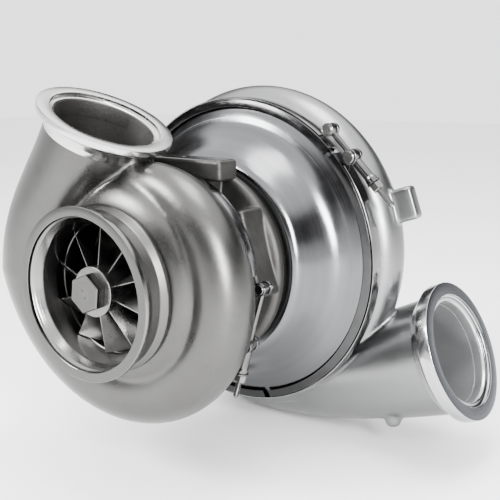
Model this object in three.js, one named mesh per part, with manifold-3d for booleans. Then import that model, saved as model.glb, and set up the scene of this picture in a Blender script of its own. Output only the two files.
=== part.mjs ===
// Large twin-flange turbocharger, in millimetres, +Z up.
// The shaft lies along Y: the turbine outlet faces -Y and the compressor inlet faces +Y.
// The origin is on the shaft axis at the middle of the centre housing.
import * as THREE from "three";
import { mergeVertices } from "three/addons/utils/BufferGeometryUtils.js";
import Module from "manifold-3d";

const wasm = await Module();
wasm.setup();

// ---------------------------------------------------------------- driving dimensions

const DEG = Math.PI / 180;
const GAP = 0.3; // clearance between pieces that seat on each other
const SMOOTH = 32; // facets round a large turned piece
const MEDIUM = 24; // facets round a middle-sized turned piece
const FINE = 12; // facets round a small turned piece
const STRAP_LIFT = 0.75; // a strap's distance from the facets of the retainers below it
const BLADE_GAP = 0.9; // running clearance between blade tips and the wall round them

// Turbine side
const TURBINE_FACE_Y = -125; // face of the turbine outlet flange
const TURBINE_FLANGE_R = 70;
const TURBINE_BORE_R = 62;
const TURBINE_TIP_R = 53; // blade tips at the wheel's outlet
const TURBINE_INLET_R = 57; // blade tips at the wheel's inlet
const TURBINE_BACK_Y = -22; // rear face of the turbine housing
const TURBINE_REAR_R = 84; // rear joint flange of the turbine housing
const TURBINE_BLADES = 10;
const TURBINE_BLADE_START = 18 * DEG;
const HEX_TURN = 23 * DEG; // one flat-to-flat turn of the hexagonal nose
const TURBINE_SCROLL_Y = -60; // middle plane of the turbine scroll
const TURBINE_SCROLL_INNER_R = 62;
const TURBINE_WALL = 6;

// Turbine inlet duct and its flange
const INLET_CENTRE = new THREE.Vector3(-31, TURBINE_SCROLL_Y, 133);
const INLET_LEAN = 26 * DEG; // the flange leans from +Z towards +X
const INLET_FLANGE_R = 58;
const INLET_BORE_R = 42;
const INLET_PIPE_R = 48;

// Bearings and shaft
const SHAFT_R = 7.5;
const STUB_R = 6; // shaft where it carries the compressor wheel
const CENTRE_FLANGE_R = 90; // compressor-side flange of the centre housing
const WATER_ANGLES = [180 * DEG, -55 * DEG]; // cooling water ports
const FLAT_SIDE_ANGLE = 15.5 * DEG; // flat cast face on the side of the centre housing
const CARTRIDGE_R = 19;
const CARTRIDGE_HALF = 24;
const BALL_R = 3.2;
const BALL_PITCH_R = 12.4;
const BALL_Y = 16;
const BALLS = 7;

// Compressor side
const PLATE_REAR_Y = 84.2; // rear face of the backplate's rim
const COVER_FRONT_Y = 84.5; // front face of the cover's joint flange
const RIM_R = 142.5;
const CLAMP_R = 146.5; // outside of the big clamp's retainer
const CLAMP_FRONT_Y = 77.5;
const CLAMP_REAR_Y = 92.5;
const SCROLL_FRONT_Y = 98;
const SCROLL_START = -32 * DEG;
const SCROLL_SWEEP = 302 * DEG;
const SCROLL_WALL = 5;
const WHEEL_BACK_Y = 98.5;
const IMPELLER_TIP_R = 72;
const IMPELLER_EYE_R = 54;
const INLET_FACE_Y = 194;
const OUTLET_CENTRE = new THREE.Vector3(209.5, 141, -76);
const OUTLET_RISE = 23.7 * DEG;
const OUTLET_FLANGE_R = 64.3;
const OUTLET_PIPE_R = 55;
const OUTLET_BORE_R = 46;

// ---------------------------------------------------------------- materials

function metal(color, roughness) {
  return new THREE.MeshStandardMaterial({ color, roughness, metalness: 1 });
}

const CAST_STEEL = metal(0xb4b2ae, 0.45);
const CAST_IRON = metal(0x9a9996, 0.6);
const CAST_ALUMINIUM = metal(0xc6c7c8, 0.42);
const POLISHED_ALUMINIUM = metal(0xd6d8dc, 0.16);
const MACHINED_STEEL = metal(0xc8c8c8, 0.22);
const BRIGHT_STEEL = metal(0xdedede, 0.14);
const DARK_ALLOY = metal(0x8b8580, 0.38);
const RUBBER = new THREE.MeshStandardMaterial({ color: 0x1a1a1a, roughness: 0.8, metalness: 0 });

// ---------------------------------------------------------------- solid helpers

// Turns a closed geometry into a solid whose faces point out.
function toSolid(geometry) {
  const bare = geometry.index ? geometry.toNonIndexed() : geometry.clone();
  bare.deleteAttribute("normal");
  bare.deleteAttribute("uv");
  const merged = mergeVertices(bare, 1e-4);
  const kept = [];
  const index = merged.index.array;
  for (let i = 0; i < index.length; i += 3) {
    const [a, b, c] = [index[i], index[i + 1], index[i + 2]];
    if (a !== b && b !== c && c !== a) {
      kept.push(a, b, c);
    }
  }
  const build = (triangles) =>
    new wasm.Manifold(
      new wasm.Mesh({
        numProp: 3,
        vertProperties: new Float32Array(merged.attributes.position.array),
        triVerts: new Uint32Array(triangles),
      }),
    );
  const solid = build(kept);
  if (solid.volume() > 0) {
    return solid;
  }
  const flipped = [];
  for (let i = 0; i < kept.length; i += 3) {
    flipped.push(kept[i], kept[i + 2], kept[i + 1]);
  }
  return build(flipped);
}

function toGeometry(solid) {
  const mesh = solid.getMesh();
  const geometry = new THREE.BufferGeometry();
  geometry.setAttribute("position", new THREE.BufferAttribute(mesh.vertProperties, 3));
  geometry.setIndex(new THREE.BufferAttribute(mesh.triVerts, 1));
  const flat = geometry.toNonIndexed();
  flat.computeVertexNormals();
  return flat;
}

function joinAll(solids) {
  return solids.reduce((whole, piece) => whole.add(piece));
}

// Turned piece about the shaft axis, from [radius, y] corners. A profile off the axis closes on itself.
function turned(profile, facets = MEDIUM) {
  const points = profile.map(([r, y]) => new THREE.Vector2(r, y));
  const onAxis = profile[0][0] === 0 && profile[profile.length - 1][0] === 0;
  if (!onAxis) {
    points.push(points[0].clone());
  }
  return toSolid(new THREE.LatheGeometry(points, facets));
}

// Turned piece placed with its own axis along a direction, its y = 0 at a point.
function turnedAt(profile, origin, direction, facets = FINE) {
  const points = profile.map(([r, y]) => new THREE.Vector2(r, y));
  const onAxis = profile[0][0] === 0 && profile[profile.length - 1][0] === 0;
  if (!onAxis) {
    points.push(points[0].clone());
  }
  const geometry = new THREE.LatheGeometry(points, facets);
  const turn = new THREE.Quaternion().setFromUnitVectors(
    new THREE.Vector3(0, 1, 0),
    direction.clone().normalize(),
  );
  geometry.applyQuaternion(turn);
  geometry.translate(origin.x, origin.y, origin.z);
  return toSolid(geometry);
}

// Round bar between two points.
function bar(from, to, radius, facets = FINE) {
  const along = to.clone().sub(from);
  const length = along.length();
  return turnedAt([[0, 0], [radius, 0], [radius, length], [0, length]], from, along, facets);
}

// Box from its size, centre and a frame of three unit vectors.
function block(size, centre, axes) {
  const geometry = new THREE.BoxGeometry(size[0], size[1], size[2]);
  const frame = new THREE.Matrix4().makeBasis(axes[0], axes[1], axes[2]);
  frame.setPosition(centre);
  geometry.applyMatrix4(frame);
  return toSolid(geometry);
}

// Triangles that fill a flat ring of points, in the ring's own direction of turn.
function fillRing(ring) {
  const middle = new THREE.Vector3();
  const normal = new THREE.Vector3();
  ring.forEach((p, i) => {
    middle.addScaledVector(p, 1 / ring.length);
    normal.add(new THREE.Vector3().crossVectors(p, ring[(i + 1) % ring.length]));
  });
  normal.normalize();
  const across = ring[0].clone().sub(middle);
  across.addScaledVector(normal, -across.dot(normal)).normalize();
  const upward = new THREE.Vector3().crossVectors(normal, across);
  const flat = ring.map((p) => {
    const offset = p.clone().sub(middle);
    return new THREE.Vector2(offset.dot(across), offset.dot(upward));
  });
  return THREE.ShapeUtils.triangulateShape(flat, []).map(([a, b, c]) => {
    const turn = THREE.ShapeUtils.area([flat[a], flat[b], flat[c]]);
    return turn >= 0 ? [a, b, c] : [a, c, b];
  });
}

// Closed skin through a row of rings that all have the same number of points.
function loft(rings) {
  const sides = rings[0].length;
  const positions = [];
  const push = (...points) => points.forEach((p) => positions.push(p.x, p.y, p.z));
  for (let i = 0; i + 1 < rings.length; i += 1) {
    for (let j = 0; j < sides; j += 1) {
      const k = (j + 1) % sides;
      push(rings[i][j], rings[i + 1][j], rings[i + 1][k]);
      push(rings[i][j], rings[i + 1][k], rings[i][k]);
    }
  }
  const first = rings[0];
  const last = rings[rings.length - 1];
  fillRing(first).forEach(([a, b, c]) => push(first[a], first[b], first[c]));
  fillRing(last).forEach(([a, b, c]) => push(last[a], last[c], last[b]));
  const geometry = new THREE.BufferGeometry();
  geometry.setAttribute("position", new THREE.Float32BufferAttribute(positions, 3));
  return toSolid(geometry);
}

// Point at a radius, station and angle about the shaft, the angle running from +X towards +Z.
function polar(radius, y, angle) {
  return new THREE.Vector3(radius * Math.cos(angle), y, radius * Math.sin(angle));
}

// Part of a turned ring: a [radius, y] section swept round the shaft between two angles.
function arcPiece(section, from, to, steps) {
  const rings = [];
  for (let i = 0; i <= steps; i += 1) {
    const angle = from + ((to - from) * i) / steps;
    rings.push(section.map(([r, y]) => polar(r, y, angle)));
  }
  return loft(rings);
}

// Circle of points round a centre, in the plane of two unit vectors.
function ringOf(centre, across, upward, radius, sides) {
  const points = [];
  for (let j = 0; j < sides; j += 1) {
    const angle = (j / sides) * 2 * Math.PI;
    points.push(
      centre
        .clone()
        .addScaledVector(across, radius * Math.cos(angle))
        .addScaledVector(upward, radius * Math.sin(angle)),
    );
  }
  return points;
}

// Straight-line mix and cubic Bezier on [radius, y] pairs.
function mix(a, b, t) {
  return [a[0] + (b[0] - a[0]) * t, a[1] + (b[1] - a[1]) * t];
}

function bezier(p, t) {
  const [ab, bc, cd] = [mix(p[0], p[1], t), mix(p[1], p[2], t), mix(p[2], p[3], t)];
  return mix(mix(ab, bc, t), mix(bc, cd, t), t);
}

function sample(curve, count) {
  return Array.from({ length: count + 1 }, (unused, i) => bezier(curve, i / count));
}

const UNIT_Y = new THREE.Vector3(0, 1, 0);

// ---------------------------------------------------------------- group

const turbocharger = new THREE.Group();

function place(name, solid, material) {
  const mesh = new THREE.Mesh(toGeometry(solid), material);
  mesh.name = name;
  turbocharger.add(mesh);
  return mesh;
}

// ---------------------------------------------------------------- turbine housing

// The scroll's section radius shrinks from the inlet duct (turn 0) to the tongue (turn 1).
function turbineScrollRadius(turn) {
  return 26.5 - 8.5 * turn ** 6 + 18.5 * (1 - turn) ** 3;
}

function turbineScrollRings(wall, from, to, steps, sides) {
  const rings = [];
  for (let i = 0; i <= steps; i += 1) {
    const turn = from + ((to - from) * i) / steps;
    const angle = Math.PI + turn * 270 * DEG;
    const section = turbineScrollRadius(turn);
    const centre = polar(TURBINE_SCROLL_INNER_R + section, TURBINE_SCROLL_Y, angle);
    rings.push(ringOf(centre, polar(1, 0, angle), UNIT_Y, section - wall, sides));
  }
  return rings;
}

const INLET_NORMAL = new THREE.Vector3(Math.sin(INLET_LEAN), 0, Math.cos(INLET_LEAN));

// The inlet duct runs from its flange down to the start of the scroll.
function inletDuctRings(wall, startRadius, endRadius, lift, steps, sides) {
  const section = turbineScrollRadius(0);
  const end = polar(TURBINE_SCROLL_INNER_R + section, TURBINE_SCROLL_Y, Math.PI);
  const start = INLET_CENTRE.clone().addScaledVector(INLET_NORMAL, lift);
  const path = new THREE.CubicBezierCurve3(
    start,
    INLET_CENTRE.clone().addScaledVector(INLET_NORMAL, -62),
    end.clone().add(new THREE.Vector3(3, 0, 48)),
    end.clone().add(new THREE.Vector3(1, 0, -6)),
  );
  const rings = [];
  for (let i = 0; i <= steps; i += 1) {
    const t = i / steps;
    const tangent = path.getTangent(t);
    const across = new THREE.Vector3().crossVectors(UNIT_Y, tangent).normalize();
    const radius = startRadius + (endRadius - startRadius) * t - wall;
    rings.push(ringOf(path.getPoint(t), across, UNIT_Y, radius, sides));
  }
  return rings;
}

// Flange with a lip and a sloping back that a V-shaped clamp can pull on; y = 0 is its face.
function lippedFlange(flangeRadius, pipeRadius, rim) {
  return [
    [0, 0],
    [flangeRadius, 0],
    [flangeRadius, -rim],
    [pipeRadius + 3, -rim - 4],
    [pipeRadius, -rim - 10],
    [0, -rim - 10],
  ];
}

function turbineHousing() {
  const front = TURBINE_FACE_Y;
  const rear = TURBINE_BACK_Y;
  const core = turned(
    [
      [0, front],
      [TURBINE_FLANGE_R, front],
      [TURBINE_FLANGE_R, front + 4],
      [66, front + 7],
      [64.5, front + 12],
      [65, front + 21],
      [68.5, front + 26],
      [68.5, front + 29],
      [66, front + 31],
      [78, front + 37],
      [90, -72],
      [94, -56],
      [94, -42],
      [89, -33],
      [TURBINE_REAR_R - 3, -30],
      [TURBINE_REAR_R - 3, rear - 5],
      [TURBINE_REAR_R, rear - 3],
      [TURBINE_REAR_R, rear],
      [0, rear],
    ],
    SMOOTH,
  );
  const scroll = loft(turbineScrollRings(0, 0, 1.08, 22, 12));
  const duct = loft(inletDuctRings(0, INLET_PIPE_R, turbineScrollRadius(0), -8, 6, 12));
  const flange = turnedAt(
    lippedFlange(INLET_FLANGE_R, INLET_PIPE_R, 5),
    INLET_CENTRE,
    INLET_NORMAL,
    MEDIUM,
  );
  const clampRoom = turned([[70, -30], [91, -30], [95, -27], [95, 10], [70, 10]], SMOOTH);
  const clampRoomWall = turned([[60, -34], [93, -34], [100, -28], [100, 10], [60, 10]], SMOOTH);
  const gas = joinAll([
    loft(turbineScrollRings(TURBINE_WALL, 0, 0.97, 16, 8)),
    loft(inletDuctRings(TURBINE_WALL, INLET_BORE_R + TURBINE_WALL, turbineScrollRadius(0), 6, 5, 12)),
  ]).subtract(clampRoomWall);
  const shroud = sample(TURBINE_TIP, 5).map(([r, y]) => [r + BLADE_GAP, y - BLADE_GAP]);
  const cavity = turned(
    [
      [0, front - 1],
      [TURBINE_BORE_R, front - 1],
      [TURBINE_BORE_R, front + 3],
      [TURBINE_BORE_R - 2, front + 5],
      [TURBINE_BORE_R - 5, front + 12],
      ...shroud.reverse(),
      [TURBINE_SCROLL_INNER_R + 8, -67],
      [TURBINE_SCROLL_INNER_R + 8, -54],
      [62, -53],
      [62, -41],
      [74, -41],
      [74, rear + 1],
      [0, rear + 1],
    ],
    SMOOTH,
  );
  return scroll.add(duct).subtract(clampRoom).add(core).add(flange).subtract(gas).subtract(cavity);
}

// ---------------------------------------------------------------- wheels

// A blade between a hub curve and a tip curve, wrapped round the shaft by an angle of the distance along it.
function blade({ hub, tip, wrap, thickness, from, along, across }) {
  const rings = [];
  for (let i = 0; i <= along; i += 1) {
    const m = from + ((1 - from) * i) / along;
    const low = bezier(hub, m);
    const high = bezier(tip, m);
    const oneSide = [];
    const otherSide = [];
    for (let j = 0; j <= across; j += 1) {
      const s = j / across;
      const [r, y] = mix(low, high, s);
      const half = (thickness * (1 - 0.45 * s)) / (2 * r);
      oneSide.push(polar(r, y, wrap(m, s) - half));
      otherSide.unshift(polar(r, y, wrap(m, s) + half));
    }
    rings.push([...oneSide, ...otherSide]);
  }
  return loft(rings);
}

function turnAbout(solid, angle) {
  return solid.rotate([0, -angle / DEG, 0]);
}

const TURBINE_HUB = [[TURBINE_INLET_R, -54], [35, -55], [24, -70], [19.5, -105]];
const TURBINE_TIP = [[TURBINE_INLET_R, -64.5], [54, -66.5], [TURBINE_TIP_R, -76], [TURBINE_TIP_R, -100]];

function turbineWheel() {
  const hub = turned(
    [
      [0, -112],
      [20.5, -112],
      [20.5, -108.5],
      ...sample(TURBINE_HUB, 6).reverse(),
      [TURBINE_INLET_R, -51.8],
      [30, -50.5],
      [14, -48],
      [13, -43],
      [0, -43],
    ],
    24,
  );
  const nose = turnAbout(
    turnedAt([[0, 0], [16.2, 0], [16.2, 10], [0, 10]], polar(0, -121, 0), UNIT_Y, 6),
    HEX_TURN,
  );
  const sunkHub = TURBINE_HUB.map(([r, y], i) => [r - 1.2, y + (i < 3 ? 1.2 : 0)]);
  const wrap = (m) => -48 * DEG * m ** 1.7;
  const one = blade({
    hub: sunkHub,
    tip: TURBINE_TIP,
    wrap: (m) => wrap(m) - wrap(1),
    thickness: 2.6,
    from: 0,
    along: 6,
    across: 1,
  });
  const blades = [];
  for (let i = 0; i < TURBINE_BLADES; i += 1) {
    blades.push(turnAbout(one, TURBINE_BLADE_START + (i / TURBINE_BLADES) * 2 * Math.PI));
  }
  return joinAll([hub, nose, ...blades]);
}

const IMPELLER_NOSE_Y = WHEEL_BACK_Y + 54.5;
const IMPELLER_HUB = [
  [16.5, WHEEL_BACK_Y + 52.5],
  [18, WHEEL_BACK_Y + 22.5],
  [34, WHEEL_BACK_Y + 4.5],
  [IMPELLER_TIP_R, WHEEL_BACK_Y + 1.9],
];
const IMPELLER_TIP = [
  [IMPELLER_EYE_R, WHEEL_BACK_Y + 50.5],
  [IMPELLER_EYE_R, WHEEL_BACK_Y + 27.5],
  [58, WHEEL_BACK_Y + 12.5],
  [IMPELLER_TIP_R, WHEEL_BACK_Y + 8.9],
];
const IMPELLER_BLADES = 7;

function compressorWheel() {
  const hub = turned(
    [
      [STUB_R + GAP, IMPELLER_NOSE_Y],
      [16.5, IMPELLER_NOSE_Y],
      ...sample(IMPELLER_HUB, 5),
      [IMPELLER_TIP_R, WHEEL_BACK_Y],
      [32, WHEEL_BACK_Y],
      [16, WHEEL_BACK_Y - 4.5],
      [STUB_R + GAP, WHEEL_BACK_Y - 4.5],
    ],
    24,
  );
  const wrap = (m) => -62 * DEG * (m - 0.12 * Math.sin(m * Math.PI));
  const sunk = IMPELLER_HUB.map(([r, y], i) => [i < 3 ? r - 1.2 : r, y - 1.2]);
  const full = blade({ hub: sunk, tip: IMPELLER_TIP, wrap, thickness: 2, from: 0.03, along: 5, across: 1 });
  const half = blade({ hub: sunk, tip: IMPELLER_TIP, wrap, thickness: 2, from: 0.33, along: 4, across: 1 });
  const blades = [];
  for (let i = 0; i < IMPELLER_BLADES; i += 1) {
    const angle = (i / IMPELLER_BLADES) * 2 * Math.PI;
    blades.push(turnAbout(full, angle));
    blades.push(turnAbout(half, angle + Math.PI / IMPELLER_BLADES));
  }
  return joinAll([hub, ...blades]);
}

// ---------------------------------------------------------------- shaft and bearings

function rotorShaft() {
  return turned(
    [
      [0, -42.7],
      [13, -42.7],
      [13, -33],
      [11.4, -33],
      [11.4, -30.5],
      [13, -30.5],
      [13, -26.5],
      [SHAFT_R, -26.5],
      [SHAFT_R, 28],
      [STUB_R, 28],
      [STUB_R, IMPELLER_NOSE_Y + 15],
      [STUB_R - 1, IMPELLER_NOSE_Y + 16],
      [0, IMPELLER_NOSE_Y + 16],
    ],
    FINE,
  );
}

// Split ring in the shaft groove that keeps hot gas out of the bearings.
function sealRing(innerRadius, outerRadius, y) {
  const section = [
    [innerRadius, y],
    [outerRadius, y],
    [outerRadius, y + 1.7],
    [innerRadius, y + 1.7],
  ];
  return arcPiece(section, 4 * DEG, 356 * DEG, 22);
}

function bearingCartridge() {
  const groove = 2.4;
  const half = CARTRIDGE_HALF;
  const outer = CARTRIDGE_R;
  const track = BALL_PITCH_R + BALL_R + GAP;
  const shell = turned(
    [
      [16.2, -half],
      [outer, -half],
      [outer, -10],
      [outer - 1.2, -9],
      [outer - 1.2, 9],
      [outer, 10],
      [outer, half],
      [16.2, half],
      [16.2, BALL_Y + groove],
      [track + 0.6, BALL_Y],
      [16.2, BALL_Y - groove],
      [16.6, 8],
      [16.6, -8],
      [16.2, -BALL_Y + groove],
      [track + 0.6, -BALL_Y],
      [16.2, -BALL_Y - groove],
    ],
    20,
  );
  const drain = bar(polar(10, 0, -90 * DEG), polar(24, 0, -90 * DEG), 5);
  const jets = [-11, 11].map((y) => bar(polar(10, y, 90 * DEG), polar(24, y, 90 * DEG), 1.2, 8));
  return [drain, ...jets].reduce((whole, hole) => whole.subtract(hole), shell);
}

function innerRace(side) {
  const y = side * BALL_Y;
  const track = BALL_PITCH_R - BALL_R - GAP;
  const inner = SHAFT_R + GAP;
  const profile = [
    [inner, y - 8],
    [10.3, y - 8],
    [10.3, y - 3.2],
    [track - 0.6, y],
    [10.3, y + 3.2],
    [10.3, y + 8],
    [inner, y + 8],
  ];
  return turned(profile, 20);
}

// Balls held in their cage; they go round the shaft together.
function ballSet(side) {
  const y = side * BALL_Y;
  const cage = turned([[11.3, y - 4.4], [13.5, y - 4.4], [13.5, y + 4.4], [11.3, y + 4.4]], 16);
  const balls = [];
  for (let i = 0; i < BALLS; i += 1) {
    const geometry = new THREE.SphereGeometry(BALL_R, 6, 4);
    const centre = polar(BALL_PITCH_R, y, (i / BALLS) * 2 * Math.PI);
    geometry.translate(centre.x, centre.y, centre.z);
    balls.push(toSolid(geometry));
  }
  return joinAll([cage, ...balls]);
}

function raceSpacer() {
  const inner = SHAFT_R + GAP;
  return turned([[inner, -7.6], [9.6, -7.6], [9.6, 7.6], [inner, 7.6]], 24);
}

// Sleeve between the inner race and the compressor wheel, with the groove of the second seal ring.
function oilFlinger() {
  const inner = STUB_R + GAP;
  return turned(
    [
      [SHAFT_R + GAP, 24.4],
      [14, 24.4],
      [17, 27],
      [17, 30],
      [13, 33],
      [13, 62],
      [11.4, 62],
      [11.4, 64.5],
      [13, 64.5],
      [13, WHEEL_BACK_Y - 4.8],
      [inner, WHEEL_BACK_Y - 4.8],
      [inner, 28.4],
      [SHAFT_R + GAP, 28.4],
    ],
    16,
  );
}

function impellerNut() {
  const inner = STUB_R + GAP;
  const seat = IMPELLER_NOSE_Y + GAP;
  const base = turned([[inner, seat], [13, seat], [13, seat + 2.7], [inner, seat + 2.7]], 20);
  const flats = turnedAt(
    [[inner, 0], [10.5, 0], [10.5, 10], [9, 11.5], [inner, 11.5]],
    polar(0, seat + 2.2, 0),
    UNIT_Y,
    6,
  );
  const bore = bar(polar(0, seat - 5, 0), polar(0, seat + 25, 0), inner, FINE);
  return base.add(flats).subtract(bore);
}

// ---------------------------------------------------------------- centre housing

function centreHousing() {
  const body = turned(
    [
      [0, -42],
      [40, -42],
      [44, -36],
      [73.4, -36],
      [73.4, TURBINE_BACK_Y + GAP],
      [TURBINE_REAR_R, TURBINE_BACK_Y + GAP],
      [TURBINE_REAR_R, -17],
      [TURBINE_REAR_R - 5, -13],
      [72, -9],
      [62, -3],
      [60, 6],
      [66, 13],
      [86, 17],
      [CENTRE_FLANGE_R, 20],
      [CENTRE_FLANGE_R, 27],
      [CENTRE_FLANGE_R - 5, 29],
      [CENTRE_FLANGE_R - 5, 32],
      [0, 32],
    ],
    SMOOTH,
  );
  const up = new THREE.Vector3(0, 0, 1);
  const side = new THREE.Vector3(1, 0, 0);
  const inletNeck = block([52, 28, 50], new THREE.Vector3(4, 4, 58), [side, UNIT_Y, up]);
  const inletPad = block([76, 26, 18], new THREE.Vector3(10, 3, 89), [side, UNIT_Y, up]);
  const drainPad = block([60, 30, 50], new THREE.Vector3(0, 5, -70), [side, UNIT_Y, up]);
  const outward = polar(1, 0, FLAT_SIDE_ANGLE);
  const around = polar(1, 0, FLAT_SIDE_ANGLE + Math.PI / 2);
  const flatSide = block([34, 29, 75], polar(66, 5.5, FLAT_SIDE_ANGLE), [outward, UNIT_Y, around]);
  const waterBosses = WATER_ANGLES.map((angle) => bar(polar(30, 3, angle), polar(84, 3, angle), 13, 12));
  const bore = turned(
    [
      [0, 40],
      [20.5, 40],
      [20.5, 24.6],
      [CARTRIDGE_R + GAP, 24.6],
      [CARTRIDGE_R + GAP, -24.3],
      [16, -24.3],
      [13.4, -28],
      [13.4, -60],
      [0, -60],
    ],
    20,
  );
  const oilIn = bar(new THREE.Vector3(0, 3, 15), new THREE.Vector3(0, 3, 110), 5, 12);
  const oilOut = bar(new THREE.Vector3(0, 3, -12), new THREE.Vector3(0, 3, -110), 12, 16);
  const waterWays = WATER_ANGLES.map((angle) => bar(polar(30, 3, angle), polar(100, 3, angle), 7, 12));
  return [bore, oilIn, oilOut, ...waterWays].reduce(
    (whole, hole) => whole.subtract(hole),
    joinAll([body, inletNeck, inletPad, drainPad, flatSide, ...waterBosses]),
  );
}

function heatShield() {
  return turned(
    [
      [15, -48],
      [50, -48],
      [58, -40.7],
      [73.4, -40.7],
      [73.4, -39.2],
      [57.4, -39.2],
      [49.4, -46.5],
      [15, -46.5],
    ],
    MEDIUM,
  );
}

function bearingRetainer() {
  const section = [
    [17.3, 24.9],
    [19.9, 24.9],
    [19.9, 26.6],
    [17.3, 26.6],
  ];
  return arcPiece(section, 12 * DEG, 348 * DEG, 22);
}

// ---------------------------------------------------------------- backplate

const DISH_FRONT = [[93, 33], [104, 36], [108, 66], [131, 73.5]];

function backplate() {
  const dish = sample(DISH_FRONT, 6);
  return turned(
    [
      [13.6, 60],
      [13.6, WHEEL_BACK_Y - 5.4],
      [17, WHEEL_BACK_Y - 5.4],
      [33.5, WHEEL_BACK_Y - 0.9],
      [74, WHEEL_BACK_Y - 0.9],
      [116, WHEEL_BACK_Y - 1.5],
      [125, 92],
      [128, 87],
      [128, PLATE_REAR_Y],
      [RIM_R, PLATE_REAR_Y],
      [RIM_R, 79.8],
      [138.5, 77.6],
      [135, 76.2],
      ...dish.reverse(),
      [34, 32.6],
      [30, 45],
      [24, 58],
    ],
    SMOOTH,
  );
}

function coverSeal() {
  return turned([[128.3, 87.4], [131.1, 87.4], [131.1, 90], [128.3, 90]], SMOOTH);
}

// ---------------------------------------------------------------- compressor cover

function scrollRadius(turn) {
  return 20 + 23 * turn;
}

function scrollOuter(turn) {
  return 155 + 24 * turn ** 2;
}

function scrollRings(wall, from, to, steps, sides) {
  const rings = [];
  for (let i = 0; i <= steps; i += 1) {
    const turn = from + ((to - from) * i) / steps;
    const angle = SCROLL_START + turn * SCROLL_SWEEP;
    const section = scrollRadius(turn);
    const centre = polar(scrollOuter(turn) - section, SCROLL_FRONT_Y + section, angle);
    rings.push(ringOf(centre, polar(1, 0, angle), UNIT_Y, section - wall, sides));
  }
  return rings;
}

const OUTLET_NORMAL = new THREE.Vector3(Math.cos(OUTLET_RISE), 0, Math.sin(OUTLET_RISE));

function outletRings(wall, endRadius, lift, steps, sides) {
  const section = scrollRadius(1);
  const angle = SCROLL_START + SCROLL_SWEEP;
  const start = polar(scrollOuter(1) - section, SCROLL_FRONT_Y + section, angle);
  const path = new THREE.CubicBezierCurve3(
    start.clone().add(new THREE.Vector3(-4, 0, 0)),
    start.clone().add(new THREE.Vector3(70, 0, 3)),
    OUTLET_CENTRE.clone().addScaledVector(OUTLET_NORMAL, -70),
    OUTLET_CENTRE.clone().addScaledVector(OUTLET_NORMAL, lift),
  );
  const rings = [];
  for (let i = 0; i <= steps; i += 1) {
    const t = i / steps;
    const tangent = path.getTangent(t);
    const across = new THREE.Vector3().crossVectors(UNIT_Y, tangent).normalize();
    const radius = section + (endRadius - section) * t - wall;
    rings.push(ringOf(path.getPoint(t), across, UNIT_Y, radius, sides));
  }
  return rings;
}

function coverLug() {
  const angle = 19.5 * DEG;
  const outward = polar(1, 0, angle);
  const around = polar(1, 0, angle + Math.PI / 2);
  return block([32, 14, 31], polar(159, 125, angle), [outward, UNIT_Y, around]);
}

// Drain boss below the outlet pipe, with its stiffening rib.
function outletBoss() {
  const top = new THREE.Vector3(147, 121, -118);
  const tip = new THREE.Vector3(154, 120, -157);
  const down = tip.clone().sub(top);
  const cone = turnedAt([[0, 0], [14, 0], [7.5, 36], [5, 39.6], [0, 39.6]], top, down, 14);
  const across = new THREE.Vector3().crossVectors(down, UNIT_Y).normalize().negate();
  const ribMiddle = new THREE.Vector3(158, 123, -133);
  const along = new THREE.Vector3().crossVectors(across, UNIT_Y);
  const rib = block([24, 6, 26], ribMiddle, [across, UNIT_Y, along]);
  return cone.add(rib);
}

// Raised land beside the joint flange, below the outlet pipe.
function coverLand() {
  const front = SCROLL_FRONT_Y - 1.2;
  const section = [[130, front], [158, front], [158, front + 9.2], [130, front + 9.2]];
  return arcPiece(section, -95 * DEG, -39 * DEG, 8);
}

function compressorCover() {
  const front = SCROLL_FRONT_Y;
  const shell = turned(
    [
      [0, COVER_FRONT_Y],
      [RIM_R, COVER_FRONT_Y],
      [RIM_R, 90],
      [138.5, 92.3],
      [138.5, front + 2],
      [130, front + 18],
      [104, front + 26],
      [86, front + 42],
      [80, front + 54],
      [79, INLET_FACE_Y - 8],
      [82.5, INLET_FACE_Y - 6],
      [82.5, INLET_FACE_Y],
      [0, INLET_FACE_Y],
    ],
    SMOOTH,
  );
  const scroll = loft(scrollRings(0, 0, 1, 24, 14));
  const outlet = loft(outletRings(0, OUTLET_PIPE_R, -14, 7, 14));
  const flange = turnedAt(
    lippedFlange(OUTLET_FLANGE_R, OUTLET_PIPE_R, 11),
    OUTLET_CENTRE,
    OUTLET_NORMAL,
    MEDIUM,
  );
  const air = joinAll([
    loft(scrollRings(SCROLL_WALL, 0.02, 1, 18, 8)),
    loft(outletRings(SCROLL_WALL, OUTLET_BORE_R + SCROLL_WALL, 6, 5, 12)),
  ]);
  const shroud = sample(IMPELLER_TIP, 7).map(([r, y]) => [r + BLADE_GAP, y + BLADE_GAP]);
  const throat = turned(
    [
      [0, 70],
      [131.4, 70],
      [131.4, 93],
      [126, front + 1],
      [124, front + 8.6],
      ...shroud.reverse(),
      [60, INLET_FACE_Y - 26],
      [74, INLET_FACE_Y + 1],
      [0, INLET_FACE_Y + 1],
    ],
    SMOOTH,
  );
  const clampRoom = turned([[136, 80], [152, 80], [152, front - 1.5], [136, front - 1.5]], SMOOTH);
  const pipework = scroll.add(outlet).subtract(clampRoom);
  return joinAll([shell, pipework, flange, coverLug(), coverLand(), outletBoss()])
    .subtract(air)
    .subtract(throat);
}

// ---------------------------------------------------------------- clamps

// A V-band clamp: V-shaped retainer segments, a flat strap, and a T-bolt that draws its ends together.
function retainerSection(outer, innerGrip, front, rear) {
  const skin = 1.6;
  const slope = 2;
  return [
    [outer, front],
    [outer, rear],
    [innerGrip, rear + slope],
    [innerGrip, rear + slope - skin],
    [outer - skin, rear - skin * 0.6],
    [outer - skin, front + skin * 0.6],
    [innerGrip, front - slope + skin],
    [innerGrip, front - slope],
  ];
}

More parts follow.
